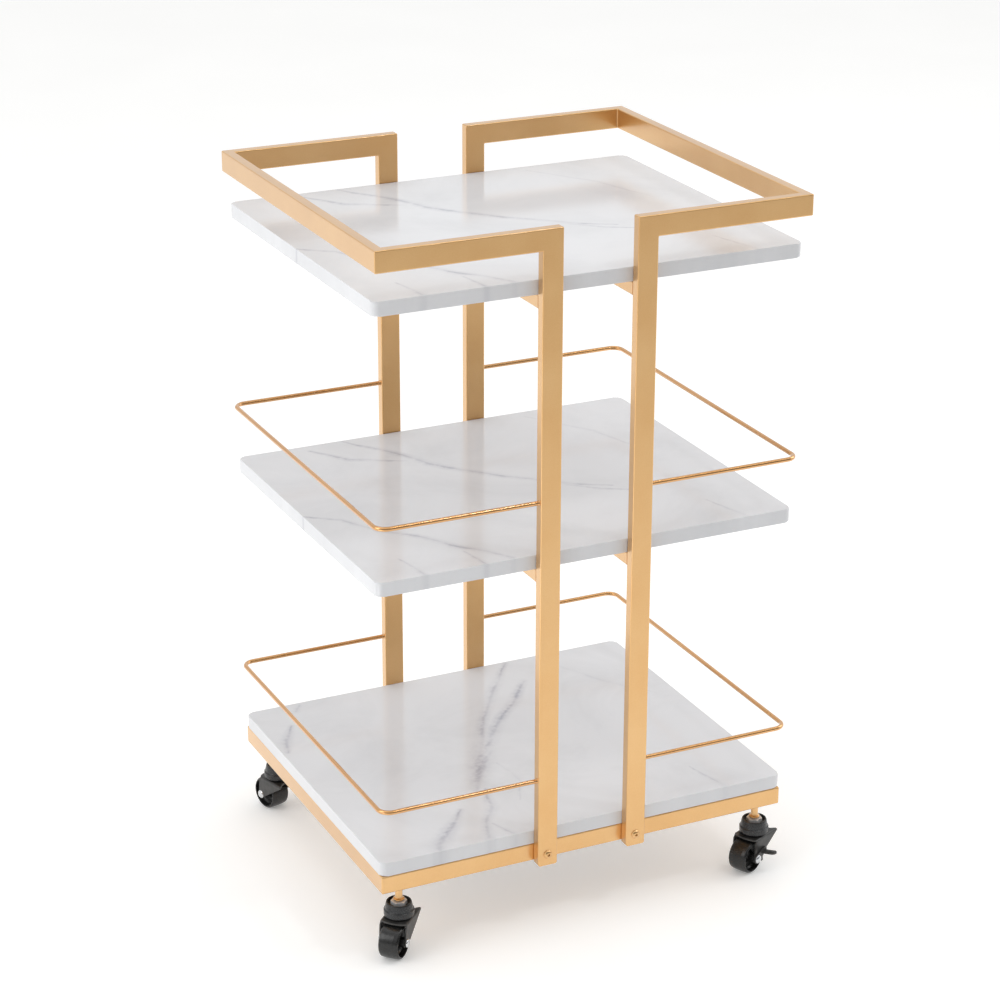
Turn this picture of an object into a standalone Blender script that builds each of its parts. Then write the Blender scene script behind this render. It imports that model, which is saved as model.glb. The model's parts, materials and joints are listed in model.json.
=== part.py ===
"""Rolling salon trolley: two tube side loops, three boards, a base ring and four swivel casters."""

import math

import bmesh
import bpy
import numpy as np

# Overall frame, metres. X runs across the front, Y from front to back, Z up from the floor.
railWidth = 0.540
railDepth = 0.466
railTop = 0.8655
tubeWide = 0.0254
tubeThin = 0.0127
tubeWall = 0.0012
tubeRound = 0.0016
postInner = 0.046
postBottom = 0.0832
gap = 0.0003

# Boards and their bearers.
boardWidth = 0.534
boardDepth = 0.4385
boardThick = 0.017
boardCorner = 0.005
boardEase = 0.0012
boardCornerSteps = 5
topBoardZ = 0.8050
middleBoardZ = 0.4785
bottomBoardZ = 0.1260
bearerHigh = 0.016

# Base ring under the bottom board.
ringWidth = 0.5332
ringDepth = 0.4400
ringWide = 0.040
ringBottom = 0.0860
ringHigh = 0.0227

# Bent wire galleries.
wireRadius = 0.00275
wireBend = 0.014
wireBendSteps = 6
wireSides = 8
wireX = 0.2675
wireY = 0.22665
middleWireZ = 0.5450
bottomWireZ = 0.1945

# Bolts through the post feet.
boltRise = 0.0115
boltHead = 0.0050
boltShank = 0.0029
boltHole = 0.0032
boltReach = 0.0185
boltHex = 0.0022

# Casters. Heights are above the floor, and x runs from the stem towards the wheel.
stemX = 0.240
frontStemY = -0.207
backStemY = 0.182
stemBoss = 0.0045
collarRadius = 0.0066
collarTop = 0.0700
collarBottom = 0.0684
pinRadius = 0.0030
pinBottom = 0.0420
wheelRadius = 0.021
wheelHalf = 0.0126
hubHalf = 0.0147
trail = 0.01575
legOuter = 0.0171
legThick = 0.0018
legEnd = 0.0048
leadX = -0.0270
rearX = 0.0160
plateTop = 0.0467
plateThick = 0.0022
axleRadius = 0.0030
axleBore = 0.0031
axleHead = 0.0053
nutRadius = 0.0098
nutBottom = 0.0620
nutTop = 0.0670
nutBore = 0.0033
cupRadius = 0.0181
cupFloor = 0.0617
cupRim = 0.0656
leverThick = 0.0016
tabReach = 0.0320
tabHalf = 0.0045
tabLow = 0.0078
tabHigh = 0.0100
casterYaws = {"front_left": 224.0, "front_right": 205.0, "back_left": 105.0, "back_right": 318.0}


def clearScene():
    for old in list(bpy.data.objects):
        bpy.data.objects.remove(old, do_unlink=True)


def makeMaterial(name, color, roughness, metallic):
    made = bpy.data.materials.new(name)
    made.use_nodes = True
    shader = made.node_tree.nodes["Principled BSDF"]
    shader.inputs["Base Color"].default_value = (*color, 1.0)
    shader.inputs["Roughness"].default_value = roughness
    shader.inputs["Metallic"].default_value = metallic
    return made


def goldPaint(name):
    return makeMaterial(name, (0.72, 0.45, 0.19), 0.32, 0.6)


def marbleBoard(name):
    return makeMaterial(name, (0.86, 0.86, 0.86), 0.15, 0.0)


def brightSteel(name):
    return makeMaterial(name, (0.70, 0.70, 0.70), 0.25, 1.0)


def blackSteel(name):
    return makeMaterial(name, (0.03, 0.03, 0.03), 0.35, 0.4)


def darkPlastic(name):
    return makeMaterial(name, (0.02, 0.02, 0.02), 0.45, 0.0)


def meshObject(name, points, faces, material, origin=(0, 0, 0), turn=0.0):
    """A named object from points and faces given in its own frame."""
    mesh = bpy.data.meshes.new(name)
    mesh.from_pydata([tuple(map(float, p)) for p in points], [], [tuple(f) for f in faces])
    work = bmesh.new()
    work.from_mesh(mesh)
    bmesh.ops.recalc_face_normals(work, faces=work.faces)
    work.to_mesh(mesh)
    work.free()
    made = bpy.data.objects.new(name, mesh)
    bpy.context.scene.collection.objects.link(made)
    made.location = origin
    made.rotation_euler = (0, 0, turn)
    if material:
        mesh.materials.append(material)
    return made


def cutterObject(name, points, faces, origin=(0, 0, 0), turn=0.0):
    made = meshObject(name, points, faces, None, origin, turn)
    made.hide_render = True
    made.display_type = "WIRE"
    return made


def boolean(target, tool, operation):
    step = target.modifiers.new(operation.lower(), "BOOLEAN")
    step.operation = operation
    step.solver = "EXACT"
    step.object = tool


def roundedSection(halfU, halfV, radius):
    """Rectangle with eased corners, counter-clockwise."""
    turn = radius * (1 - math.cos(math.radians(45)))
    corner = [(radius, 0.0), (turn, turn), (0.0, radius)]
    loop = []
    for signU, signV, order in ((1, 1, 1), (-1, 1, -1), (-1, -1, 1), (1, -1, -1)):
        for insetU, insetV in corner[::order]:
            loop.append((signU * (halfU - insetV), signV * (halfV - insetU)))
    return loop[::-1]


def tubePiece(name, material, middle, axis, wideAxis, wide, thin, start, end):
    """Hollow tube. start and end are (position along the axis, slope along wide, slope along thin)."""
    middle = np.array(middle, float)
    axis = np.array(axis, float)
    wideAxis = np.array(wideAxis, float)
    thinAxis = np.cross(axis, wideAxis)
    outer = roundedSection(wide / 2, thin / 2, tubeRound)
    inner = roundedSection(wide / 2 - tubeWall, thin / 2 - tubeWall, tubeRound * 0.4)
    count = len(outer)
    points = []
    for reach, slopeWide, slopeThin in (start, end):
        for loop in (outer, inner):
            for u, v in loop:
                along = reach + slopeWide * u + slopeThin * v
                points.append(middle + axis * along + wideAxis * u + thinAxis * v)
    faces = []
    for i in range(count):
        j = (i + 1) % count
        faces.append((i, j, 2 * count + j, 2 * count + i))
        faces.append((count + i, 3 * count + i, 3 * count + j, count + j))
        faces.append((i, count + i, count + j, j))
        faces.append((2 * count + i, 2 * count + j, 3 * count + j, 3 * count + i))
    return meshObject(name, points, faces, material)


def turnedPoints(profile, count, axis):
    """Points and faces of a closed profile of (radius, height) turned about Z or Y."""
    points = []
    rings = []
    for radius, height in profile:
        if radius < 1e-9:
            rings.append([len(points)])
            points.append((0.0, 0.0, height))
            continue
        rings.append(list(range(len(points), len(points) + count)))
        for i in range(count):
            angle = 2 * math.pi * i / count
            points.append((radius * math.cos(angle), radius * math.sin(angle), height))
    if axis == "Y":
        points = [(x, z, -y) for x, y, z in points]
    faces = []
    closed = profile[0][0] > 1e-9
    steps = len(profile) if closed else len(profile) - 1
    for k in range(steps):
        low = rings[k]
        high = rings[(k + 1) % len(profile)]
        for i in range(count):
            j = (i + 1) % count
            if len(low) == 1:
                faces.append((low[0], high[j], high[i]))
            elif len(high) == 1:
                faces.append((low[i], low[j], high[0]))
            else:
                faces.append((low[i], low[j], high[j], high[i]))
    return points, faces


def slabPoints(outline, low, high, plane):
    """A flat outline given thickness. plane XY lies flat, plane XZ stands up."""
    count = len(outline)
    points = []
    for level in (low, high):
        for a, b in outline:
            points.append((a, b, level) if plane == "XY" else (a, level, b))
    faces = [tuple(range(count)), tuple(range(2 * count - 1, count - 1, -1))]
    for i in range(count):
        j = (i + 1) % count
        faces.append((i, j, count + j, count + i))
    return points, faces


def arcPoints(centerA, centerB, radius, startDeg, endDeg, count):
    points = []
    for i in range(count + 1):
        angle = math.radians(startDeg + (endDeg - startDeg) * i / count)
        points.append((centerA + radius * math.cos(angle), centerB + radius * math.sin(angle)))
    return points


def sideLoop(side, sign):
    """Front post, front rail, side rail, back rail and back post of one side, mitred where they meet."""
    topMiddle = railTop - tubeWide / 2
    postX = sign * (postInner + tubeWide / 2)
    railX = sign * (railWidth / 2 - tubeThin / 2)
    cut = gap / 2 * math.sqrt(2)
    for end, way in (("front", -1), ("back", 1)):
        faceY = way * (railDepth / 2 - tubeThin / 2)
        tubePiece(
            f"{side}_{end}_post",
            goldPaint(f"{side}_{end}_post"),
            (postX, faceY, 0),
            (0, 0, 1),
            (1, 0, 0),
            tubeWide,
            tubeThin,
            (postBottom, 0, 0),
            (topMiddle - cut, -sign, 0),
        )
        tubePiece(
            f"{side}_{end}_rail",
            goldPaint(f"{side}_{end}_rail"),
            (0, faceY, topMiddle),
            (sign, 0, 0),
            (0, 0, 1),
            tubeWide,
            tubeThin,
            (abs(postX) + cut, -1, 0),
            (abs(railX) - cut, 0, -sign * way),
        )
    tubePiece(
        f"{side}_side_rail",
        goldPaint(f"{side}_side_rail"),
        (railX, 0, topMiddle),
        (0, 1, 0),
        (0, 0, 1),
        tubeWide,
        tubeThin,
        (-railDepth / 2 + tubeThin / 2 + cut, 0, -sign),
        (railDepth / 2 - tubeThin / 2 - cut, 0, sign),
    )


def shelfBearers(side, sign):
    """Bars from post to post that carry the top and middle boards."""
    inner = railDepth / 2 - tubeThin - gap
    for level, boardTop in (("top", topBoardZ), ("middle", middleBoardZ)):
        middleZ = boardTop - boardThick - gap - bearerHigh / 2
        tubePiece(
            f"{side}_{level}_bearer",
            goldPaint(f"{side}_{level}_bearer"),
            (sign * (postInner + tubeWide / 2), 0, middleZ),
            (0, 1, 0),
            (1, 0, 0),
            tubeWide,
            bearerHigh,
            (-inner, 0, 0),
            (inner, 0, 0),
        )


def boardOutline(halfX, halfY, radius):
    loop = []
    for signX, signY, start in ((1, 1, 0), (-1, 1, 90), (-1, -1, 180), (1, -1, 270)):
        middle = (signX * (halfX - radius), signY * (halfY - radius))
        loop += arcPoints(*middle, radius, start, start + 90, boardCornerSteps)
    return loop


def board(name, topZ, width, depth):
    levels = (
        (topZ - boardThick, boardEase),
        (topZ - boardThick + boardEase, 0.0),
        (topZ - boardEase, 0.0),
        (topZ, boardEase),
    )
    points = []
    for height, inset in levels:
        for x, y in boardOutline(width / 2 - inset, depth / 2 - inset, boardCorner - inset):
            points.append((x, y, height))
    count = len(points) // len(levels)
    faces = [tuple(range(count))[::-1], tuple(range(3 * count, 4 * count))]
    for k in range(len(levels) - 1):
        for i in range(count):
            j = (i + 1) % count
            faces.append((k * count + i, k * count + j, (k + 1) * count + j, (k + 1) * count + i))
    meshObject(name, points, faces, marbleBoard(name))


def galleryPath(sign):
    """Middle line of a gallery wire and its direction at each point."""
    postSide = postInner + tubeWide + gap
    inX = wireX - wireBend
    inY = wireY - wireBend
    spots = [(postSide, -wireY)]
    ways = [(1.0, 0.0)]
    for centreY, start in ((-inY, -90), (inY, 0)):
        spots += arcPoints(inX, centreY, wireBend, start, start + 90, wireBendSteps)
        ways += arcPoints(0.0, 0.0, 1.0, start + 90, start + 180, wireBendSteps)
    spots.append((postSide, wireY))
    ways.append((-1.0, 0.0))
    mirror = np.array((sign, 1.0))
    return np.array(spots) * mirror, np.array(ways) * mirror


def wireGallery(name, sign, height):
    """A U of round wire from the front post round the side to the back post."""
    points = []
    spots, ways = galleryPath(sign)
    for spot, along in zip(spots, ways):
        outward = np.array((along[1], -along[0]))
        for k in range(wireSides):
            angle = 2 * math.pi * k / wireSides
            flat = spot + outward * wireRadius * math.cos(angle)
            points.append((flat[0], flat[1], height + wireRadius * math.sin(angle)))
    faces = [tuple(range(wireSides)), tuple(range(len(points) - wireSides, len(points)))[::-1]]
    for i in range(len(spots) - 1):
        for k in range(wireSides):
            low = i * wireSides
            high = low + wireSides
            m = (k + 1) % wireSides
            faces.append((low + k, low + m, high + m, high + k))
    meshObject(name, points, faces, goldPaint(name))


def baseRing():
    """Four flat tubes mitred into the ring that carries the bottom board and the casters."""
    middleZ = ringBottom + ringHigh / 2
    cut = gap / 2 * math.sqrt(2)
    reachX = ringWidth / 2 - ringWide / 2 - cut
    reachY = ringDepth / 2 - ringWide / 2 - cut
    for name, way in (("base_front_rail", -1), ("base_back_rail", 1)):
        middle = (0, way * (ringDepth / 2 - ringWide / 2), middleZ)
        ends = ((-reachX, -way, 0), (reachX, way, 0))
        tubePiece(name, goldPaint(name), middle, (1, 0, 0), (0, 1, 0), ringWide, ringHigh, *ends)
    for name, way in (("base_left_rail", -1), ("base_right_rail", 1)):
        middle = (way * (ringWidth / 2 - ringWide / 2), 0, middleZ)
        ends = ((-reachY, -way, 0), (reachY, way, 0))
        tubePiece(name, goldPaint(name), middle, (0, 1, 0), (1, 0, 0), ringWide, ringHigh, *ends)


def footBolts():
    """Button-head bolts through the post feet into the base ring, and the holes they pass."""
    for side, sign in (("left", -1), ("right", 1)):
        for end, way in (("front", -1), ("back", 1)):
            spot = (sign * (postInner + tubeWide / 2), way * railDepth / 2, ringBottom + boltRise)
            profile = [
                (0.0, -boltReach),
                (boltShank, -boltReach),
                (boltShank, gap),
                (boltHead, gap),
                (boltHead * 0.96, 0.0012),
                (boltHead * 0.80, 0.0022),
                (boltHead * 0.55, 0.0028),
                (boltHex, 0.0029),
                (boltHex, 0.0012),
                (0.0, 0.0012),
            ]
            points, faces = turnedPoints(profile, 14, "Y")
            points = [(x, way * y, z) for x, y, z in points]
            meshObject(f"{side}_{end}_bolt", points, faces, brightSteel(f"{side}_{end}_bolt"), spot)
            hole = [(0.0, -0.0150), (boltHole, -0.0150), (boltHole, 0.0010), (0.0, 0.0010)]
            points, faces = turnedPoints(hole, 16, "Y")
            points = [(x, way * y, z) for x, y, z in points]
            tool = cutterObject(f"{side}_{end}_drill", points, faces, spot)
            boolean(bpy.data.objects[f"{side}_{end}_post"], tool, "DIFFERENCE")
            boolean(bpy.data.objects[f"base_{end}_rail"], tool, "DIFFERENCE")


def casterStem(name, spot):
    """Threaded boss welded under the ring, running down into the pin that the fork turns on."""
    pinFloor = plateTop - plateThick - gap
    profile = [
        (0.0, ringBottom - gap),
        (stemBoss, ringBottom - gap),
        (stemBoss, collarTop + 0.0008),
        (collarRadius, collarTop),
        (collarRadius, collarBottom),
        (pinRadius, collarBottom),
        (pinRadius, pinFloor),
        (pinRadius + 0.0022, pinFloor),
        (pinRadius + 0.0018, pinBottom + 0.0005),
        (0.0, pinBottom),
    ]
    points, faces = turnedPoints(profile, 16, "Z")
    meshObject(name, points, faces, goldPaint(name), spot)


def casterNut(name, spot):
    sides = 6
    chamfer = 0.0008
    levels = ((nutBottom, nutRadius), (nutTop - chamfer, nutRadius), (nutTop, nutRadius - chamfer))
    points = []
    for height, radius in levels:
        for i in range(sides):
            angle = 2 * math.pi * i / sides
            points.append((radius * math.cos(angle), radius * math.sin(angle), height))
    faces = [tuple(range(sides))[::-1], tuple(range(2 * sides, 3 * sides))]
    for k in range(2):
        for i in range(sides):
            j = (i + 1) % sides
            faces.append((k * sides + i, k * sides + j, (k + 1) * sides + j, (k + 1) * sides + i))
    made = meshObject(name, points, faces, brightSteel(name), spot)
    low = nutBottom - 0.003
    high = nutTop + 0.002
    hole = [(0.0, low), (nutBore, low), (nutBore, high), (0.0, high)]
    boolean(made, cutterObject(f"{name}_drill", *turnedPoints(hole, 16, "Z"), spot), "DIFFERENCE")


def casterCup(name, spot):
    """Stepped bearing cup with a recess for the nut."""
    profile = [
        (nutBore, plateTop + gap),
        (0.0148, plateTop + gap),
        (cupRadius, 0.0495),
        (cupRadius, 0.0560),
        (0.0166, 0.0568),
        (0.0162, 0.0605),
        (0.0148, cupRim),
        (0.0134, cupRim),
        (0.0128, cupFloor),
        (nutBore, cupFloor),
    ]
    points, faces = turnedPoints(profile[::-1], 24, "Z")
    meshObject(name, points, faces, darkPlastic(name), spot)


def legOutline():
    """Side leg of the fork: level top edge, pointed leading corner, round end at the axle."""
    underside = plateTop - plateThick
    loop = [(leadX + 0.0012, plateTop), (leadX, 0.0452), (leadX + 0.0010, underside - 0.0008)]
    loop += arcPoints(trail, wheelRadius, legEnd, -132, 8, 8)
    loop += [(rearX + 0.0030, 0.0400), (rearX + 0.0012, 0.0452), (rearX, plateTop)]
    return loop


def plateOutline():
    """Top plate: hollow leading edge between the legs, rounded trailing edge."""
    half = legOuter
    loop = [(leadX + 0.0012, half), (leadX + 0.0012, half - legThick), (-0.0210, 0.0105), (-0.0190, 0.0)]
    loop += [(x, -y) for x, y in loop[::-1][1:]]
    rear = [(rearX, half), (0.0190, 0.0128), (0.0206, 0.0070)]
    loop += [(x, -y) for x, y in rear]
    loop += [(0.0212, 0.0)]
    loop += rear[::-1]
    return loop


def casterFork(name, spot, turn):
    """Pressed fork: a top plate with a turned-down leg each side of the wheel."""
    points, faces = slabPoints(plateOutline(), plateTop - plateThick, plateTop, "XY")
    made = meshObject(name, points, faces, blackSteel(name), spot, turn)
    for side, sign in (("near", 1), ("far", -1)):
        low, high = sorted((sign * legOuter, sign * (legOuter - legThick)))
        points, faces = slabPoints(legOutline(), low, high, "XZ")
        boolean(made, cutterObject(f"{name}_{side}_leg", points, faces, spot, turn), "UNION")
    low = plateTop - 0.010
    high = plateTop + 0.010
    hole = [(0.0, low), (axleBore, low), (axleBore, high), (0.0, high)]
    boolean(made, cutterObject(f"{name}_drill", *turnedPoints(hole, 20, "Z"), spot, turn), "DIFFERENCE")
    across = legOuter + 0.005
    hole = [(0.0, -across), (axleBore, -across), (axleBore, across), (0.0, across)]
    points, faces = turnedPoints(hole, 20, "Y")
    points = [(x + trail, y, z + wheelRadius) for x, y, z in points]
    boolean(made, cutterObject(f"{name}_axle_drill", points, faces, spot, turn), "DIFFERENCE")


def casterAxle(name, spot, turn, leverSide):
    """Riveted axle with a domed head at each end."""
    near = legOuter + gap + leverSide
    far = legOuter + gap
    dome = ((1.0, 0.0), (0.90, 0.0012), (0.55, 0.0023), (0.0, 0.0026))
    profile = [(axleHead * share, -far - rise) for share, rise in dome[::-1]]
    profile += [(axleRadius, -far), (axleRadius, near)]
    profile += [(axleHead * share, near + rise) for share, rise in dome]
    points, faces = turnedPoints(profile, 16, "Y")
    meshObject(name, points, faces, brightSteel(name), hub(spot, turn), turn)


def hub(spot, turn):
    """World position of a caster's wheel centre."""
    return (spot[0] + trail * math.cos(turn), spot[1] + trail * math.sin(turn), wheelRadius)


def casterWheel(name, spot, turn):
    """Wheel with a crowned tread, rounded shoulders, dished sides and a raised hub."""
    half = [
        (axleBore, hubHalf),
        (0.0068, hubHalf),
        (0.0078, 0.0098),
        (0.0150, 0.0098),
        (0.0180, wheelHalf),
        (0.0201, 0.0116),
        (wheelRadius, 0.0070),
    ]
    profile = half + [(radius, -side) for radius, side in half[::-1]]
    points, faces = turnedPoints(profile, 28, "Y")
    meshObject(name, points, faces, darkPlastic(name), hub(spot, turn), turn)


def brakeLever(name, spot, turn):
    """Side brake: a claw plate on the axle with a tab bent out for the toe."""
    inner = legOuter + gap
    outer = inner + leverThick
    loop = arcPoints(0.0, 0.0, 0.0064, -150, 75, 10)
    loop += [(-0.0070, 0.0098), (-0.0150, 0.0125), (-0.0182, 0.0098), (-0.0172, 0.0062), (-0.0120, 0.0040)]
    loop += [(-0.0098, 0.0010), (-0.0105, -0.0050), (-0.0080, -0.0058)]
    points, faces = slabPoints(loop, inner, outer, "XZ")
    made = meshObject(name, points, faces, blackSteel(name), hub(spot, turn), turn)
    middle = -0.0133
    tab = [(middle - tabHalf, inner), (middle + tabHalf, inner), (middle + tabHalf, tabReach)]
    tab += arcPoints(middle, tabReach, tabHalf, 0, 180, 8)[1:-1]
    tab += [(middle - tabHalf, tabReach)]
    points, faces = slabPoints(tab, tabLow, tabHigh, "XY")
    boolean(made, cutterObject(f"{name}_tab", points, faces, hub(spot, turn), turn), "UNION")
    near = inner - 0.004
    far = outer + 0.004
    hole = [(0.0, near), (axleBore, near), (axleBore, far), (0.0, far)]
    points, faces = turnedPoints(hole, 20, "Y")
    boolean(made, cutterObject(f"{name}_drill", points, faces, hub(spot, turn), turn), "DIFFERENCE")


def caster(corner, x, y):
    spot = (x, y, 0.0)
    turn = math.radians(casterYaws[corner])
    braked = corner == "front_right"
    casterStem(f"{corner}_stem", spot)
    casterNut(f"{corner}_nut", spot)
    casterCup(f"{corner}_cup", spot)
    casterFork(f"{corner}_fork", spot, turn)
    casterAxle(f"{corner}_axle", spot, turn, leverThick + gap if braked else 0.0)
    casterWheel(f"{corner}_wheel", spot, turn)
    if braked:
        brakeLever(f"{corner}_brake", spot, turn)


def centreOnFloor():
    """Moves everything so that the whole trolley's box stands centred on the origin."""
    bpy.context.view_layer.update()
    graph = bpy.context.evaluated_depsgraph_get()
    low = np.full(3, np.inf)
    high = np.full(3, -np.inf)
    for made in bpy.data.objects:
        if made.hide_render:
            continue
        place = np.array(made.matrix_world)
        shape = made.evaluated_get(graph).data
        spots = np.array([vertex.co for vertex in shape.vertices]) @ place[:3, :3].T + place[:3, 3]
        low = np.minimum(low, spots.min(axis=0))
        high = np.maximum(high, spots.max(axis=0))
    shift = ((low[0] + high[0]) / 2, (low[1] + high[1]) / 2, low[2])
    for made in bpy.data.objects:
        for k in range(3):
            made.location[k] -= shift[k]


def buildTrolley():
    clearScene()
    for side, sign in (("left", -1), ("right", 1)):
        sideLoop(side, sign)
        shelfBearers(side, sign)
        wireGallery(f"{side}_middle_gallery", sign, middleWireZ)
        wireGallery(f"{side}_bottom_gallery", sign, bottomWireZ)
    board("top_board", topBoardZ, boardWidth, boardDepth)
    board("middle_board", middleBoardZ, boardWidth, boardDepth)
    board("bottom_board", bottomBoardZ, boardWidth, ringDepth)
    baseRing()
    footBolts()
    caster("front_left", -stemX, frontStemY)
    caster("front_right", stemX, frontStemY)
    caster("back_left", -stemX, backStemY)
    caster("back_right", stemX, backStemY)
    centreOnFloor()


buildTrolley()
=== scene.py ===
import json
import math

import bmesh
import bpy
from mathutils import Matrix, Vector


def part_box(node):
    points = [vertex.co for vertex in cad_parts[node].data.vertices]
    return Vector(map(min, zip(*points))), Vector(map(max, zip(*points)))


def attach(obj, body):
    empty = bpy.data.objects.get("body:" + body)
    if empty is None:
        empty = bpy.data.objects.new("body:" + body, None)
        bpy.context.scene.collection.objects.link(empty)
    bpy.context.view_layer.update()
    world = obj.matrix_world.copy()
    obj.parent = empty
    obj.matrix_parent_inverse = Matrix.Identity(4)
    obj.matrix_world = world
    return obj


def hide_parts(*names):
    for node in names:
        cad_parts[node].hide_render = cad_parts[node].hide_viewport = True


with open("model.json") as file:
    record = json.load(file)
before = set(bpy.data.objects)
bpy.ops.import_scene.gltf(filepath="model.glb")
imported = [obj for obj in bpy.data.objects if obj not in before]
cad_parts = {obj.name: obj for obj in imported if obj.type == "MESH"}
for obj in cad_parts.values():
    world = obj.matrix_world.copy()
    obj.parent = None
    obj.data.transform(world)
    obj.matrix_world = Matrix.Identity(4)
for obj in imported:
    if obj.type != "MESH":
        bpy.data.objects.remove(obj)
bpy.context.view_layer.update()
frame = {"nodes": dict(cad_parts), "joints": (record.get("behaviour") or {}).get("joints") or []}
mm = 0.001
sides = ("left", "right")
casterCorners = ("front_left", "front_right", "back_left", "back_right")
print("frame loaded,", len(frame["nodes"]), "CAD nodes")


# small tools

def linearColour(code):
    # sRGB hex to the linear values that shaders take
    parts = [int(code[i:i + 2], 16) / 255 for i in (1, 3, 5)]
    return tuple(p / 12.92 if p <= 0.04045 else ((p + 0.055) / 1.055) ** 2.4 for p in parts) + (1.0,)


def addNode(tree, kind, settings=None, links=None):
    # settings are input values or node properties; a link comes from a socket or from a node's first output
    node = tree.nodes.new(kind)
    for key, value in (settings or {}).items():
        if isinstance(key, int) or key in node.inputs:
            node.inputs[key].default_value = value
        else:
            setattr(node, key, value)
    for key, source in (links or {}).items():
        socket = source.outputs[0] if isinstance(source, bpy.types.Node) else source
        tree.links.new(socket, node.inputs[key])
    return node


def objectFromMesh(name, mesh, material=None):
    made = bpy.data.objects.new(name, mesh)
    bpy.context.scene.collection.objects.link(made)
    if material:
        mesh.materials.clear()
        mesh.materials.append(material)
    return made


def objectFromBmesh(name, work, material=None, merge=True):
    if merge:
        bmesh.ops.remove_doubles(work, verts=work.verts, dist=0.002 * mm)
        bmesh.ops.recalc_face_normals(work, faces=work.faces)
    mesh = bpy.data.meshes.new(name)
    work.to_mesh(mesh)
    work.free()
    return objectFromMesh(name, mesh, material)


def bakeModifiers(made):
    # the evaluated shape becomes the object's own plain mesh
    graph = bpy.context.evaluated_depsgraph_get()
    mesh = bpy.data.meshes.new_from_object(made.evaluated_get(graph), depsgraph=graph)
    made.modifiers.clear()
    old = made.data
    made.data = mesh
    mesh.name = made.name
    bpy.data.meshes.remove(old)
    return made


def smoothShade(made, sharpDeg=38):
    # smooth faces with area-weighted normals, sharp only where the metal really turns a corner
    mesh = made.data
    mesh.polygons.foreach_set("use_smooth", [True] * len(mesh.polygons))
    mesh.set_sharp_from_angle(angle=math.radians(sharpDeg))
    weighted = made.modifiers.new("weightedNormals", "WEIGHTED_NORMAL")
    weighted.keep_sharp = True
    weighted.weight = 60
    return bakeModifiers(made)


def cutWith(made, operation, *shapes):
    # boolean with one or more bmesh shapes, which are used up
    tools = [objectFromBmesh("cuttingTool", shape) for shape in shapes]
    for tool in tools:
        step = made.modifiers.new(operation.lower(), "BOOLEAN")
        step.operation = operation
        step.solver = "EXACT"
        step.object = tool
    bakeModifiers(made)
    for tool in tools:
        bpy.data.objects.remove(tool, do_unlink=True)
    return made


def easeEdges(made, width, segments, angleDeg=35):
    step = made.modifiers.new("ease", "BEVEL")
    step.width = width * mm
    step.segments = segments
    step.limit_method = "ANGLE"
    step.angle_limit = math.radians(angleDeg)
    step.harden_normals = False
    step.use_clamp_overlap = True
    return bakeModifiers(made)


def bevelCorners(work, radius, steps, skip=(), minAngle=0.5):
    # rounds the long edges of a tube and leaves the flat seams between its faces
    edges = [e for e in work.edges if e not in skip and len(e.link_faces) == 2]
    edges = [e for e in edges if e.calc_face_angle() > minAngle]
    bmesh.ops.bevel(work, geom=edges, offset=radius * mm, segments=steps, profile=0.5, affect="EDGES")


def assign(piece, body, nodes):
    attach(piece, body)
    if nodes:
        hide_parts(*nodes)
    return piece


def arc(centerA, centerB, radius, startDeg, endDeg, steps):
    made = []
    for i in range(steps + 1):
        angle = math.radians(startDeg + (endDeg - startDeg) * i / steps)
        made.append((centerA + radius * math.cos(angle), centerB + radius * math.sin(angle)))
    return made


def hexagon(radius):
    return [(radius * math.cos(math.pi / 3 * i), radius * math.sin(math.pi / 3 * i)) for i in range(6)]


def mirrored(points):
    # the same points on the other side of the second axis' zero, in reverse order
    return [(a, -b) for a, b in points[::-1]]


def roundedPath(corners, steps=4):
    # open path of (a, b, fillet radius) with its corners rounded
    made = []
    for k, (a, b, radius) in enumerate(corners):
        if radius <= 0 or k in (0, len(corners) - 1):
            made.append((a, b))
            continue
        here = Vector((a, b))
        before = Vector(corners[k - 1][:2]) - here
        after = Vector(corners[k + 1][:2]) - here
        half = before.angle(after) / 2
        reach = min(radius / math.tan(half), before.length * 0.49, after.length * 0.49)
        start = here + before.normalized() * reach
        end = here + after.normalized() * reach
        for i in range(steps + 1):
            t = i / steps
            spot = start * (1 - t) ** 2 + here * 2 * t * (1 - t) + end * t * t
            made.append((spot.x, spot.y))
    return made


def turned(profile, count, axis="Z"):
    # closed profile of (radius, height) in millimetres turned about Z or Y
    work = bmesh.new()
    rings = []
    for radius, height in profile:
        if radius < 1e-6:
            rings.append([work.verts.new((0, 0, height))])
            continue
        ring = []
        for i in range(count):
            angle = 2 * math.pi * i / count
            ring.append(work.verts.new((radius * math.cos(angle), radius * math.sin(angle), height)))
        rings.append(ring)
    closed = profile[0][0] > 1e-6
    for k in range(len(profile) if closed else len(profile) - 1):
        low = rings[k]
        high = rings[(k + 1) % len(profile)]
        for i in range(count):
            j = (i + 1) % count
            corners = [low[i % len(low)], low[j % len(low)], high[j % len(high)], high[i % len(high)]]
            work.faces.new(dict.fromkeys(corners))
    turn = Matrix.Rotation(math.radians(-90), 4, "X") if axis == "Y" else Matrix.Identity(4)
    bmesh.ops.transform(work, matrix=Matrix.Scale(mm, 4) @ turn, verts=work.verts)
    return work


def rod(radius, low, high, axis="Z"):
    return turned([(0.0, low), (radius, low), (radius, high), (0.0, high)], 40, axis)


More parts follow.
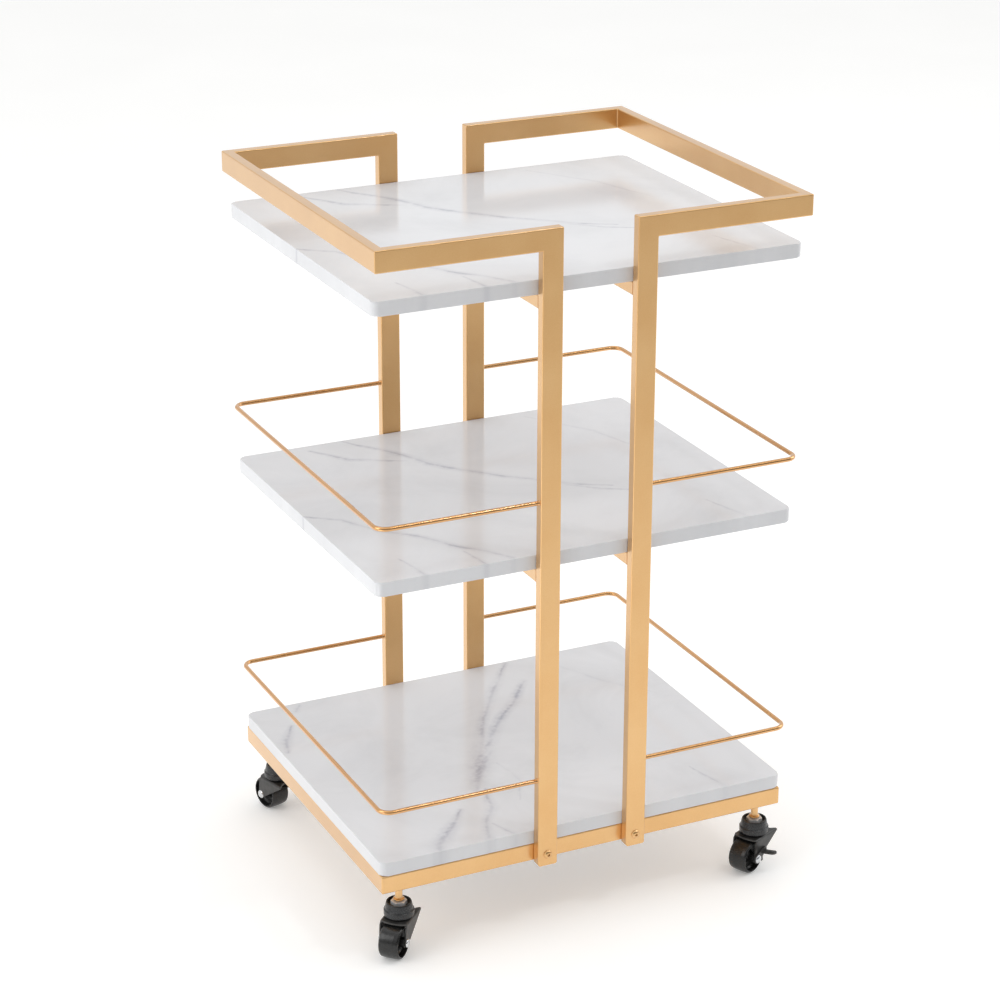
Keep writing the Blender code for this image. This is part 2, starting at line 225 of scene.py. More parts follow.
def slab(outline, low, high, plane):
    # a flat outline in millimetres given thickness; XY lies flat, XZ stands up, YZ faces forward
    work = bmesh.new()
    spots = {
        "XY": lambda a, b, c: (a, b, c),
        "XZ": lambda a, b, c: (a, c, b),
        "YZ": lambda a, b, c: (c, a, b),
    }
    layers = []
    for level in (low, high):
        layers.append([work.verts.new(Vector(spots[plane](a, b, level)) * mm) for a, b in outline])
    work.faces.new(layers[0])
    work.faces.new(layers[1][::-1])
    for i in range(len(outline)):
        j = (i + 1) % len(outline)
        work.faces.new((layers[0][i], layers[0][j], layers[1][j], layers[1][i]))
    return work


# finishes

def startMaterial(name):
    # a material with an empty tree, and the object's own coordinates to draw on it with
    made = bpy.data.materials.new(name)
    made.use_nodes = True
    tree = made.node_tree
    tree.nodes.clear()
    return made, tree, addNode(tree, "ShaderNodeTexCoord").outputs["Object"]


# real pigment flakes are a few hundredths of a millimetre, so they are drawn far coarser to show at all
goldCoat = {
    "colour": "#e7b670",
    "deepColour": "#dda85e",
    "metallic": 1.0,
    "roughness": 0.34,
    "roughnessSpread": 0.035,
    "coat": 1.0,
    "coatRoughness": 0.2,
    "coatIor": 1.9,
    "cloudMm": 70,
    "peelMm": 1.8,
    "flakeMm": 1.1,
    "flakeShare": 0.35,
    "relief": 0.22,
    "reliefMm": 0.05,
}

# the same coat in a deeper, more orange colour and glossier, used on the wire galleries
wireCoat = {
    **goldCoat,
    "colour": "#dfa55c",
    "deepColour": "#d3964b",
    "roughness": 0.24,
    "coatRoughness": 0.12,
}


def satinGoldPowderCoat(name, s):
    # gold-pigment powder coat on welded steel: warm satin sheen, soft highlights on edges, faint orange peel
    made, tree, place = startMaterial(name)
    cloud = addNode(tree, "ShaderNodeTexNoise", {"Scale": 1000 / s["cloudMm"], "Detail": 2.0},
                    {"Vector": place})
    flake = addNode(tree, "ShaderNodeTexNoise", {"Scale": 1000 / s["flakeMm"], "Detail": 1.0},
                    {"Vector": place})
    peel = addNode(tree, "ShaderNodeTexNoise", {"Scale": 1000 / s["peelMm"], "Detail": 2.0},
                   {"Vector": place})
    both = addNode(tree, "ShaderNodeMath", {"operation": "MULTIPLY_ADD", 1: s["flakeShare"]},
                   {0: flake, 2: cloud})
    share = addNode(tree, "ShaderNodeMapRange", {"From Min": 0.45, "From Max": 0.95}, {"Value": both})
    colours = {6: linearColour(s["deepColour"]), 7: linearColour(s["colour"])}
    colour = addNode(tree, "ShaderNodeMix", {"data_type": "RGBA", **colours}, {0: share}).outputs[2]
    span = {"To Min": s["roughness"] - s["roughnessSpread"], "To Max": s["roughness"] + s["roughnessSpread"]}
    rough = addNode(tree, "ShaderNodeMapRange", {"From Min": 0.3, "From Max": 0.7, **span}, {"Value": cloud})
    bump = addNode(tree, "ShaderNodeBump", {"Strength": s["relief"], "Distance": s["reliefMm"] * mm},
                   {"Height": peel})
    shader = addNode(
        tree,
        "ShaderNodeBsdfPrincipled",
        {"Metallic": s["metallic"], "Coat Weight": s["coat"], "Coat Roughness": s["coatRoughness"],
         "Coat IOR": s["coatIor"]},
        {"Base Color": colour, "Roughness": rough, "Normal": bump},
    )
    addNode(tree, "ShaderNodeOutputMaterial", {}, {"Surface": shader})
    return made


strokeLook = {"core": 0.36, "halo": 0.4, "haloReach": 3.2}


def veinStrokeGroup():
    # one tapering stroke of a vein in the board's plane: a core of its half width inside a soft wide halo
    s = strokeLook
    tree = bpy.data.node_groups.new("veinStroke", "ShaderNodeTree")
    for name in ("Place", "From", "To"):
        tree.interface.new_socket(name, in_out="INPUT", socket_type="NodeSocketVector")
    for name in ("Start Width", "End Width", "Strength"):
        tree.interface.new_socket(name, in_out="INPUT", socket_type="NodeSocketFloat")
    tree.interface.new_socket("Vein", in_out="OUTPUT", socket_type="NodeSocketFloat")
    given = addNode(tree, "NodeGroupInput").outputs
    start = given["From"]
    along = addNode(tree, "ShaderNodeVectorMath", {"operation": "SUBTRACT"}, {0: given["To"], 1: start})
    offset = addNode(tree, "ShaderNodeVectorMath", {"operation": "SUBTRACT"}, {0: given["Place"], 1: start})
    shadow = addNode(tree, "ShaderNodeVectorMath", {"operation": "DOT_PRODUCT"},
                     {0: offset, 1: along}).outputs[1]
    whole = addNode(tree, "ShaderNodeVectorMath", {"operation": "DOT_PRODUCT"},
                    {0: along, 1: along}).outputs[1]
    share = addNode(tree, "ShaderNodeMath", {"operation": "DIVIDE", "use_clamp": True},
                    {0: shadow, 1: whole})
    nearest = addNode(tree, "ShaderNodeVectorMath", {"operation": "SCALE"}, {0: along, "Scale": share})
    gapTo = addNode(tree, "ShaderNodeVectorMath", {"operation": "DISTANCE"},
                    {0: offset, 1: nearest}).outputs[1]
    widths = {"To Min": given["Start Width"], "To Max": given["End Width"]}
    width = addNode(tree, "ShaderNodeMapRange", {}, {"Value": share, **widths})
    near = addNode(tree, "ShaderNodeMath", {"operation": "DIVIDE"}, {0: gapTo, 1: width})
    soft = {"interpolation_type": "SMOOTHSTEP", "To Max": 0.0}
    fall = addNode(tree, "ShaderNodeMapRange", {**soft, "To Min": 1.0}, {"Value": near})
    wide = {**soft, "From Max": s["haloReach"], "To Min": s["halo"]}
    halo = addNode(tree, "ShaderNodeMapRange", wide, {"Value": near})
    both = addNode(tree, "ShaderNodeMath", {"operation": "MULTIPLY_ADD", 1: s["core"]}, {0: fall, 2: halo})
    value = addNode(tree, "ShaderNodeMath", {"operation": "MULTIPLY"}, {0: both, 1: given["Strength"]})
    addNode(tree, "NodeGroupOutput", {}, {"Vein": value})
    return tree


marbleBoard = {
    "base": "#e4e5e8",
    "cloud": "#d9dadd",
    "vein": "#86869a",
    "roughness": 0.13,
    "cloudMm": 160,
    "wanderMm": 46,
    "wanderReachMm": 7,
    "frayMm": 7,
    "frayReachMm": 3.4,
}

# veins in millimetres on each board: points, half widths at each point, strength
upperVeins = [
    ([(-178, 204), (-145, 157), (-116, 138), (-82, 120)], (1.2, 2.0, 1.7, 0.5), 0.75),
    ([(-129, 219), (-101, 178), (-79, 143), (-62, 102), (-32, 62), (3, 24), (41, -9), (70, -37), (109, -58)],
     (0.8, 1.8, 2.4, 2.6, 2.2, 2.0, 1.9, 1.7, 0.8), 0.8),
    ([(60, -35), (92, -62), (122, -80)], (0.8, 1.5, 0.5), 0.5),
    ([(-272, 8), (-231, -24), (-205, -73), (-170, -106), (-145, -149), (-118, -181), (-98, -212)],
     (0.8, 1.6, 1.4, 2.0, 2.2, 1.8, 1.4), 0.7),
    ([(-216, -160), (-208, -214)], (0.6, 1.6), 0.55),
    ([(-140, -170), (-133, -214)], (0.6, 1.7), 0.55),
    ([(190, -150), (206, -214)], (0.5, 1.6), 0.4),
    ([(120, 205), (176, 120), (205, 30)], (0.6, 1.6, 0.5), 0.25),
]
lowerVeins = [
    ([(100, 218), (58, 162), (26, 116), (-13, 50), (-41, -5), (-65, -51), (-87, -93)],
     (1.5, 3.2, 2.8, 3.2, 5.0, 6.0, 3.4), 0.62),
    ([(97, 158), (66, 115), (34, 83), (5, 49), (-25, 9), (-46, -15)], (2.4, 3.4, 3.0, 3.4, 4.2, 4.5), 0.85),
    ([(-30, -8), (-60, -46), (-84, -84)], (3.0, 6.4, 3.2), 0.8),
    ([(-78, -97), (-92, -145), (-114, -175), (-127, -212)], (2.0, 3.4, 2.4, 3.2), 0.62),
    ([(-36, -40), (-30, -92), (-52, -140)], (1.0, 1.8, 0.6), 0.3),
    ([(-128, -134), (-153, -166), (-180, -194), (-194, -214)], (1.8, 3.6, 4.6, 4.2), 0.8),
    ([(-228, 164), (-250, 128), (-259, 96)], (1.6, 3.4, 1.4), 0.7),
    ([(-196, 214), (-208, 200)], (1.2, 2.0), 0.4),
    ([(-108, -180), (-96, -214)], (0.8, 2.2), 0.5),
    ([(176, -150), (190, -214)], (0.5, 2.0), 0.45),
    ([(150, 200), (196, 110), (236, 60)], (0.8, 2.2, 0.8), 0.2),
]

# for each board: its veins, how much wider than listed they are drawn, and where its noise starts
boardVeins = {
    "top": (upperVeins, 1.5, 0.11),
    "middle": (upperVeins, 1.5, 0.11),
    "bottom": (lowerVeins, 1.25, 0.37),
}


def polishedMarble(name, veins, spread, seed, strokeGroup):
    # polished marble-look slab: near-white body, faint grey clouds, soft violet-grey veins under clear gloss
    s = marbleBoard
    made, tree, place = startMaterial(name)
    flat = addNode(tree, "ShaderNodeVectorMath", {"operation": "MULTIPLY", 1: (1, 1, 0)}, {0: place})
    moved = addNode(tree, "ShaderNodeVectorMath", {"operation": "ADD", 1: (seed, 0, seed * 2)}, {0: flat})
    wander = addNode(tree, "ShaderNodeTexNoise", {"Scale": 1000 / s["wanderMm"], "Detail": 2.0},
                     {"Vector": moved})
    fray = addNode(tree, "ShaderNodeTexNoise", {"Scale": 1000 / s["frayMm"], "Detail": 3.0},
                   {"Vector": moved})
    spot = flat
    steps = []
    for noise, reach in ((wander, s["wanderReachMm"]), (fray, s["frayReachMm"])):
        push = {1: (reach * mm, reach * mm, 0), 2: (-reach / 2 * mm, -reach / 2 * mm, 0)}
        steps.append(addNode(tree, "ShaderNodeVectorMath", {"operation": "MULTIPLY_ADD", **push},
                             {0: noise.outputs["Color"]}))
    for step in steps:
        spot = addNode(tree, "ShaderNodeVectorMath", {"operation": "ADD"}, {0: spot, 1: step})
    total = None
    for points, widths, strength in veins:
        for k in range(len(points) - 1):
            start, end = [(a * mm, b * mm, 0) for a, b in points[k:k + 2]]
            wide, narrow = [width * spread * mm for width in widths[k:k + 2]]
            stroke = addNode(
                tree,
                "ShaderNodeGroup",
                {"node_tree": strokeGroup, "From": start, "To": end, "Start Width": wide, "End Width": narrow,
                 "Strength": strength},
                {"Place": spot},
            )
            if total is None:
                total = stroke
            else:
                total = addNode(tree, "ShaderNodeMath", {"operation": "MAXIMUM"}, {0: total, 1: stroke})
    patch = addNode(tree, "ShaderNodeMapRange", {"From Min": 0.36, "From Max": 0.58, "To Min": 0.35},
                    {"Value": wander})
    grainy = addNode(tree, "ShaderNodeMapRange", {"From Min": 0.3, "From Max": 0.6, "To Min": 0.45},
                     {"Value": fray})
    thin = addNode(tree, "ShaderNodeMath", {"operation": "MULTIPLY"}, {0: total, 1: patch})
    broken = addNode(tree, "ShaderNodeMath", {"operation": "MULTIPLY"}, {0: thin, 1: grainy})
    cloudy = {"Scale": 1000 / s["cloudMm"], "Detail": 5.0, "Roughness": 0.62, "Distortion": 0.6}
    haze = addNode(tree, "ShaderNodeTexNoise", cloudy, {"Vector": moved})
    hazeShare = addNode(tree, "ShaderNodeMapRange", {"From Min": 0.42, "From Max": 0.72}, {"Value": haze})
    colours = {6: linearColour(s["base"]), 7: linearColour(s["cloud"])}
    body = addNode(tree, "ShaderNodeMix", {"data_type": "RGBA", **colours}, {0: hazeShare}).outputs[2]
    colour = addNode(tree, "ShaderNodeMix", {"data_type": "RGBA", 7: linearColour(s["vein"])},
                     {0: broken, 6: body})
    rough = addNode(tree, "ShaderNodeMapRange",
                    {"To Min": s["roughness"] - 0.02, "To Max": s["roughness"] + 0.03},
                    {"Value": haze})
    shader = addNode(tree, "ShaderNodeBsdfPrincipled", {"IOR": 1.5},
                     {"Base Color": colour.outputs[2], "Roughness": rough})
    addNode(tree, "ShaderNodeOutputMaterial", {}, {"Surface": shader})
    return made


def speckledFinish(name, s):
    # a plain coloured finish with its own mottling, roughness variation and fine relief
    made, tree, place = startMaterial(name)
    fine = addNode(tree, "ShaderNodeTexNoise", {"Scale": 1000 / s["grainMm"], "Detail": 3.0},
                   {"Vector": place})
    broad = addNode(tree, "ShaderNodeTexNoise", {"Scale": 1000 / s["patchMm"], "Detail": 3.0},
                    {"Vector": place})
    share = addNode(tree, "ShaderNodeMapRange", {"From Min": 0.35, "From Max": 0.65}, {"Value": broad})
    colours = {6: linearColour(s["deepColour"]), 7: linearColour(s["colour"])}
    colour = addNode(tree, "ShaderNodeMix", {"data_type": "RGBA", **colours}, {0: share}).outputs[2]
    span = {"To Min": s["roughness"] - s["spread"], "To Max": s["roughness"] + s["spread"]}
    rough = addNode(tree, "ShaderNodeMapRange", {"From Min": 0.3, "From Max": 0.7, **span}, {"Value": fine})
    bump = addNode(tree, "ShaderNodeBump", {"Strength": s["relief"], "Distance": 0.05 * mm},
                   {"Height": fine})
    shader = addNode(tree, "ShaderNodeBsdfPrincipled", {"Metallic": s["metallic"]},
                     {"Base Color": colour, "Roughness": rough, "Normal": bump})
    addNode(tree, "ShaderNodeOutputMaterial", {}, {"Surface": shader})
    return made


# the grains below are finer than a tenth of a millimetre on real parts, and are drawn coarse enough to show

# bright zinc plate: cool silver with small rough patches left by the plating bath
zincPlate = {"colour": "#e2e3e4", "deepColour": "#c9cccf", "metallic": 1.0, "roughness": 0.24,
             "spread": 0.06, "grainMm": 0.9, "patchMm": 5, "relief": 0.15}
# dull zinc on the swivel nuts: a paler, rougher plate that stays bright from every side
dullZinc = {"colour": "#f2f2f2", "deepColour": "#dcdddf", "metallic": 0.5, "roughness": 0.45, "spread": 0.06,
            "grainMm": 0.8, "patchMm": 4, "relief": 0.2}
# black e-coat on pressed steel: thin, slightly glossy, a warm grey-black where the press has drawn it
eCoat = {"colour": "#3d3c3b", "deepColour": "#2b2a29", "metallic": 0.0, "roughness": 0.34, "spread": 0.06,
         "grainMm": 0.8, "patchMm": 7, "relief": 0.3}
# moulded black nylon: even satin black with a fine eroded-mould grain
nylon = {"colour": "#222221", "deepColour": "#171717", "metallic": 0.0, "roughness": 0.26, "spread": 0.05,
         "grainMm": 0.6, "patchMm": 9, "relief": 0.25}
# moulded dark bearing cover: a grey-black a little lighter than the wheel, with the same satin gloss
cover = {"colour": "#2c2d2f", "deepColour": "#1e1f20", "metallic": 0.0, "roughness": 0.27, "spread": 0.05,
         "grainMm": 0.7, "patchMm": 6, "relief": 0.3}

gold = satinGoldPowderCoat("satinGoldPowderCoat", goldCoat)
wireGold = satinGoldPowderCoat("glossyGoldWireCoat", wireCoat)
stroke = veinStrokeGroup()
marbles = {level: polishedMarble(f"polishedMarble{level.capitalize()}", *veins, stroke)
           for level, veins in boardVeins.items()}
zinc = speckledFinish("brightZincPlate", zincPlate)
paleZinc = speckledFinish("dullZincPlate", dullZinc)
blackSteel = speckledFinish("blackECoatedSteel", eCoat)
blackNylon = speckledFinish("mouldedBlackNylon", nylon)
darkCover = speckledFinish("mouldedDarkCover", cover)
print("finishes made")


# welded handle loops: post, rail, side rail, rail, post in one mitred run

loopSizes = {
    "wide": 25.4,
    "thin": 12.7,
    "wall": 1.2,
    "edgeRadius": 1.5,
    "edgeSteps": 4,
    "openEnd": 40,
    "footRadius": 3.5,
}


def loopRings(side):
    # the four edges of the tube, followed from the front foot to the back foot
    sign = -1 if side == "left" else 1
    railLow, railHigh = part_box(f"{side}_side_rail")
    frontLow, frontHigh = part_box(f"{side}_front_post")
    backLow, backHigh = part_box(f"{side}_back_post")
    top = railHigh.z
    under = top - loopSizes["wide"] * mm
    foot = frontLow.z
    inner, outer = (frontLow.x, frontHigh.x) if sign > 0 else (frontHigh.x, frontLow.x)
    far = railHigh.x if sign > 0 else railLow.x
    nearFar = far - sign * loopSizes["thin"] * mm

    def postRing(outY, inY, innerZ, outerZ):
        return [(inner, outY, innerZ), (inner, inY, innerZ), (outer, inY, outerZ), (outer, outY, outerZ)]

    def cornerRing(outY, inY):
        return [(far, outY, top), (nearFar, inY, top), (nearFar, inY, under), (far, outY, under)]

    front = (frontLow.y, frontHigh.y)
    back = (backHigh.y, backLow.y)
    return [
        postRing(*front, foot, foot),
        postRing(*front, top, under),
        cornerRing(*front),
        cornerRing(*back),
        postRing(*back, top, under),
        postRing(*back, foot, foot),
    ]


def footTrims(side, foot):
    # slivers that round the lower corners of both feet, a little past the tube on every side
    r = loopSizes["footRadius"]
    low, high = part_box(f"{side}_front_post")
    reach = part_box(f"{side}_back_post")[1].y / mm + 2
    sliver = [(-0.5, r)] + arc(r, r, r, 180, 270, 8) + [(r, -0.5), (-0.5, -0.5)]
    trims = []
    for edge, way in ((low.x / mm, 1), (high.x / mm, -1)):
        outline = [(edge + way * a, foot + b) for a, b in sliver]
        trims.append(slab(outline, low.y / mm - 2, reach, "XZ"))
    return trims


def handleLoop(side):
    s = loopSizes
    work = bmesh.new()
    rings = [[work.verts.new(spot) for spot in ring] for ring in loopRings(side)]
    for here, after in zip(rings, rings[1:]):
        for i in range(4):
            j = (i + 1) % 4
            work.faces.new((here[i], here[j], after[j], after[i]))
    caps = [work.faces.new(rings[0]), work.faces.new(rings[-1][::-1])]
    bmesh.ops.recalc_face_normals(work, faces=work.faces)
    footEdges = {edge for cap in caps for edge in cap.edges}
    bevelCorners(work, s["edgeRadius"], s["edgeSteps"], footEdges)
    foot = min(v.co.z for v in work.verts)
    caps = [f for f in work.faces if f.normal.z < -0.9 and abs(f.calc_center_median().z - foot) < 0.1 * mm]
    for cap in caps:
        # each foot is open: its end is set back inside the tube's wall
        bmesh.ops.inset_individual(work, faces=[cap], thickness=s["wall"] * mm)
        raised = bmesh.ops.extrude_discrete_faces(work, faces=[cap])["faces"][0]
        bmesh.ops.translate(work, verts=raised.verts, vec=(0, 0, s["openEnd"] * mm))
    piece = objectFromBmesh(f"{side}HandleLoop", work, gold)
    cutWith(piece, "DIFFERENCE", *footTrims(side, foot / mm))
    smoothShade(piece)
    parts = ("front_post", "front_rail", "side_rail", "back_rail", "back_post")
    names = [f"{side}_{part}" for part in parts]
    assign(piece, "frame", names)


for side in sides:
    handleLoop(side)
print("handle loops made")


# bearer tubes under the two upper boards

bearerSizes = {"edgeRadius": 1.6, "edgeSteps": 4}


def bearerTube(side, level):
    low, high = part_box(f"{side}_{level}_bearer")
    low.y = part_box(f"{side}_front_post")[1].y
    high.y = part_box(f"{side}_back_post")[0].y
    work = bmesh.new()
    bmesh.ops.create_cube(work, size=1.0)
    place = Matrix.Translation((low + high) / 2) @ Matrix.Diagonal((*(high - low), 1))
    bmesh.ops.transform(work, matrix=place, verts=work.verts)
    ends = {e for e in work.edges if abs(e.verts[0].co.y - e.verts[1].co.y) < 1e-6}
    bevelCorners(work, bearerSizes["edgeRadius"], bearerSizes["edgeSteps"], ends)
    piece = smoothShade(objectFromBmesh(f"{side}{level.capitalize()}BearerTube", work, gold))
    assign(piece, "frame", [f"{side}_{level}_bearer"])


for side in sides:
    for level in ("top", "middle"):
        bearerTube(side, level)


# base ring: four mitred tubes that carry the bottom board and the casters

ringSizes = {"edgeRadius": 1.8, "edgeSteps": 4}


def baseRing():
    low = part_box("base_left_rail")[0].copy()
    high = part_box("base_right_rail")[1].copy()
    low.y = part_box("base_front_rail")[0].y
    high.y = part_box("base_back_rail")[1].y
    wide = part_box("base_front_rail")[1].y - low.y
    work = bmesh.new()
    rings = []
    for signX, signY in ((-1, -1), (1, -1), (1, 1), (-1, 1)):
        outX = low.x if signX < 0 else high.x
        outY = low.y if signY < 0 else high.y
        inX = outX - signX * wide
        inY = outY - signY * wide
        spots = [(outX, outY, low.z), (outX, outY, high.z), (inX, inY, high.z), (inX, inY, low.z)]
        rings.append([work.verts.new(spot) for spot in spots])
    for here, after in zip(rings, rings[1:] + rings[:1]):
        for i in range(4):
            j = (i + 1) % 4
            work.faces.new((here[i], here[j], after[j], after[i]))
    bmesh.ops.recalc_face_normals(work, faces=work.faces)
    bevelCorners(work, ringSizes["edgeRadius"], ringSizes["edgeSteps"])
    piece = smoothShade(objectFromBmesh("baseRingFrame", work, gold))
    names = [f"base_{way}_rail" for way in ("front", "back", "left", "right")]
    assign(piece, "frame", names)


baseRing()
print("base ring and bearers made")


# boards

boardSizes = {"cornerRadius": 8.0, "cornerSteps": 8, "arris": 1.5, "arrisSteps": 4}


def boardSlab(level):
    s = boardSizes
    low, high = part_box(f"{level}_board")
    halfX = (high.x - low.x) / 2 / mm
    halfY = (high.y - low.y) / 2 / mm
    midX = (high.x + low.x) / 2 / mm
    midY = (high.y + low.y) / 2 / mm
    outline = []
    for signX, signY, start in ((1, 1, 0), (-1, 1, 90), (-1, -1, 180), (1, -1, 270)):
        spotX = midX + signX * (halfX - s["cornerRadius"])
        spotY = midY + signY * (halfY - s["cornerRadius"])
        outline += arc(spotX, spotY, s["cornerRadius"], start, start + 90, s["cornerSteps"])
    work = slab(outline, low.z / mm, high.z / mm, "XY")
    rims = [e for e in work.edges if abs(e.verts[0].co.z - e.verts[1].co.z) < 1e-7]
    bmesh.ops.bevel(work, geom=rims, offset=s["arris"] * mm, segments=s["arrisSteps"], profile=0.5,
                    affect="EDGES")
    piece = smoothShade(objectFromBmesh(f"{level}MarbleBoard", work, marbles[level]))
    assign(piece, "frame", [f"{level}_board"])


for level in boardVeins:
    boardSlab(level)
print("boards made")


# node trees for what repeats or follows a path

def newTree(name, inputs):
    tree = bpy.data.node_groups.new(name, "GeometryNodeTree")
    tree.interface.new_socket("Geometry", in_out="INPUT", socket_type="NodeSocketGeometry")
    for label, kind in inputs.items():
        tree.interface.new_socket(label, in_out="INPUT", socket_type="NodeSocket" + kind)
    tree.interface.new_socket("Geometry", in_out="OUTPUT", socket_type="NodeSocketGeometry")
    return tree, addNode(tree, "NodeGroupInput").outputs


def closeTree(tree, geometry, material):
    whole = addNode(tree, "GeometryNodeRealizeInstances", {}, {"Geometry": geometry})
    shaded = addNode(tree, "GeometryNodeSetShadeSmooth", {}, {"Geometry": whole})
    coated = addNode(tree, "GeometryNodeSetMaterial", {}, {"Geometry": shaded, "Material": material})
    addNode(tree, "NodeGroupOutput", {}, {"Geometry": coated})
    return tree


def growWith(made, tree, values):
    # runs a node tree on the object and keeps the result as its plain mesh
    step = made.modifiers.new(tree.name, "NODES")
    step.node_group = tree
    sockets = {item.name: item.identifier for item in tree.interface.items_tree if item.in_out == "INPUT"}
    for name, value in values.items():
        step[sockets[name]] = value
    return bakeModifiers(made)


def pathObject(name, paths):
    # loose edges that follow each path, for a node tree to work on
    work = bmesh.new()
    for path in paths:
        verts = [work.verts.new(spot) for spot in path]
        for pair in zip(verts, verts[1:]):
            work.edges.new(pair)
    return objectFromBmesh(name, work, merge=False)


# wire galleries

gallerySizes = {"wireRadius": 2.75, "bendRadius": 14.0, "flareRadius": 3.5, "flareLength": 1.6}


def galleryTree():
    # bent round wire along a path, with a small flared weld at each end
    tree, given = newTree("galleryWire", {
        "Wire Radius": "Float",
        "Bend Radius": "Float",
        "Flare Radius": "Float",
        "Flare Length": "Float",
        "Finish": "Material",
    })
    line = addNode(tree, "GeometryNodeMeshToCurve", {}, {"Mesh": given["Geometry"]})
    bent = addNode(tree, "GeometryNodeFilletCurve", {"mode": "POLY", "Count": 12},
                   {"Curve": line, "Radius": given["Bend Radius"]})
    ring = addNode(tree, "GeometryNodeCurvePrimitiveCircle", {"Resolution": 20},
                   {"Radius": given["Wire Radius"]})
    wire = addNode(tree, "GeometryNodeCurveToMesh", {"Fill Caps": True},
                   {"Curve": bent, "Profile Curve": ring})
    ends = addNode(tree, "GeometryNodeCurveEndpointSelection")
    away = addNode(tree, "GeometryNodeInputTangent")
    startEnd = addNode(tree, "GeometryNodeCurveEndpointSelection", {"Start Size": 1, "End Size": 0})
    flip = addNode(tree, "ShaderNodeMapRange", {"To Min": -1.0, "To Max": 1.0}, {"Value": startEnd})
    heading = addNode(tree, "ShaderNodeVectorMath", {"operation": "SCALE"}, {0: away, "Scale": flip})
    turn = addNode(tree, "FunctionNodeAlignRotationToVector", {"axis": "Z"}, {"Vector": heading})
    cone = addNode(
        tree,
        "GeometryNodeMeshCone",
        {"Vertices": 20, "Side Segments": 3},
        {"Radius Top": given["Wire Radius"], "Radius Bottom": given["Flare Radius"],
         "Depth": given["Flare Length"]},
    )
    flares = addNode(tree, "GeometryNodeInstanceOnPoints", {},
                     {"Points": bent, "Selection": ends, "Instance": cone, "Rotation": turn})
    both = addNode(tree, "GeometryNodeJoinGeometry")
    for part in (wire, flares):
        tree.links.new(part.outputs[0], both.inputs[0])
    return closeTree(tree, both, given["Finish"])


def wireGallery(side, level, tree):
    s = gallerySizes
    low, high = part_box(f"{side}_{level}_gallery")
    sign = -1 if side == "left" else 1
    postLow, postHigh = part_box(f"{side}_front_post")
    postX = postLow.x if sign < 0 else postHigh.x
    sideX = (low.x if sign < 0 else high.x) - sign * s["wireRadius"] * mm
    frontY = low.y + s["wireRadius"] * mm
    backY = high.y - s["wireRadius"] * mm
    height = (low.z + high.z) / 2
    path = [(postX, frontY, height), (sideX, frontY, height), (sideX, backY, height), (postX, backY, height)]
    piece = pathObject(f"{side}{level.capitalize()}GalleryWire", [path])
    growWith(piece, tree, {
        "Wire Radius": s["wireRadius"] * mm,
        "Bend Radius": s["bendRadius"] * mm,
        "Flare Radius": s["flareRadius"] * mm,
        "Flare Length": s["flareLength"] * mm,
        "Finish": wireGold,
    })
    smoothShade(piece)
    assign(piece, "frame", [f"{side}_{level}_gallery"])


galleries = galleryTree()
for side in sides:
    for level in ("middle", "bottom"):
        wireGallery(side, level, galleries)
print("wire galleries made")


# button-head bolts through the post feet

boltSizes = {"headRadius": 5.4, "headHeight": 2.8, "socket": 1.9, "socketDepth": 1.7, "edge": 0.12}


def fastenerTree():
    # one fastener's mesh set on every point, turned to face along the point's own direction
    tree, given = newTree("setOnPoints", {"Fastener": "Object", "Size": "Float", "Finish": "Material"})
    part = addNode(tree, "GeometryNodeObjectInfo", {}, {"Object": given["Fastener"]})
    facing = addNode(tree, "GeometryNodeInputNamedAttribute",
                     {"data_type": "FLOAT_VECTOR", "Name": "facing"})
    turn = addNode(tree, "FunctionNodeAlignRotationToVector", {"axis": "Z"}, {"Vector": facing})
    placed = addNode(
        tree,
        "GeometryNodeInstanceOnPoints",
        {},
        {"Points": given["Geometry"], "Instance": part.outputs["Geometry"], "Rotation": turn,
         "Scale": given["Size"]},
    )
    return closeTree(tree, placed, given["Finish"])


def boltHead():
    s = boltSizes
    r = s["headRadius"]
    h = s["headHeight"]
    dome = [(r, 0.0, 0), (r, 0.7, 0.3), (r * 0.82, h * 0.72, 1.6), (r * 0.52, h, 1.0), (0.0, h, 0)]
    head = objectFromBmesh("boltHead", turned([(0.0, 0.0)] + roundedPath(dome, 4), 40))
    cutWith(head, "DIFFERENCE", slab(hexagon(s["socket"]), h - s["socketDepth"], h + 1, "XY"))
    return easeEdges(head, s["edge"], 2, 45)


def footBolts(tree):
    head = boltHead()
    work = bmesh.new()
    facing = work.verts.layers.float_vector.new("facing")
    names = [f"{side}_{end}_bolt" for side in sides for end in ("front", "back")]
    for name in names:
        low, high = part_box(name)
        way = -1 if "front" in name else 1
        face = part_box(name.replace("bolt", "post"))[0 if way < 0 else 1].y
        spot = work.verts.new(((low.x + high.x) / 2, face, (low.z + high.z) / 2))
        spot[facing] = (0, way, 0)
    piece = objectFromBmesh("footBolts", work, merge=False)
    growWith(piece, tree, {"Fastener": head, "Size": 1.0, "Finish": gold})
    bpy.data.objects.remove(head, do_unlink=True)
    smoothShade(piece, 32)
    assign(piece, "frame", names)


footBolts(fastenerTree())


# weld beads on the hidden side of the joints

weldSizes = {
    "pitch": 1.3,
    "width": 1.7,
    "height": 1.0,
    "bearerInset": 2.4,
    "ringInset": 2,
    "stemRadius": 5.0,
    "seed": 7,
}


